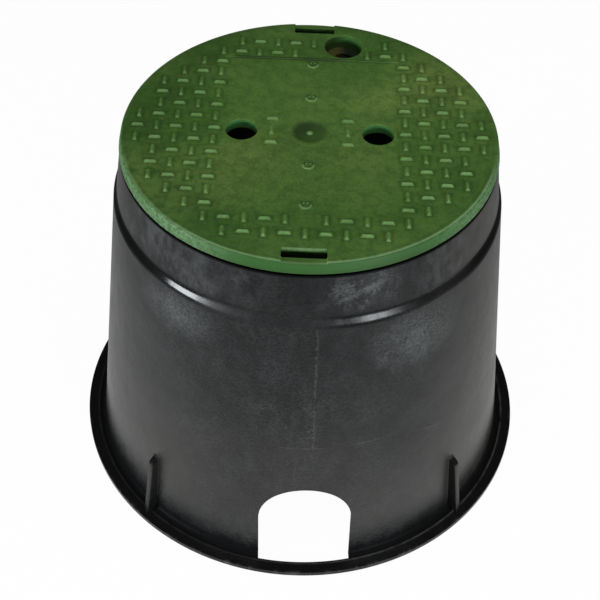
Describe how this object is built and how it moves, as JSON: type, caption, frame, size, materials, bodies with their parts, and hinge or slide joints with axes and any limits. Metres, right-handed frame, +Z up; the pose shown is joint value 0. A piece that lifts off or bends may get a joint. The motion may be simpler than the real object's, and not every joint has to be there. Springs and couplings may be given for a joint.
{
  "type": "irrigation valve box",
  "caption": "Round in-ground valve box: tapered black box with a foot flange, arched pipe openings and gusset ribs, and a green treaded lid with finger holes and a bolt pocket.",
  "frame": {"origin": "on the axis, at the underside of the flange, on the ground", "axes": "+Z up along the axis, towards the lid; the lid's tread runs along X and Y, its bolt pocket is towards +Y; the pipe openings face -Y and +Y, turned 2.8 degrees about +Z"},
  "size_m": [0.3282, 0.3282, 0.2642],
  "materials": {
    "box_black": "satin moulded polyethylene, scuffed",
    "lid_green": "moulded polyethylene with dirt stains"
  },
  "bodies": {
    "box": {"box_body": "box_black"},
    "cover": {"lid": "lid_green"}
  },
  "joints": [
    {"name": "lid_lift", "type": "slide", "parent": "box", "child": "cover", "axis": [0, 0, 1], "range_m": [0, 0.06]}
  ]
}
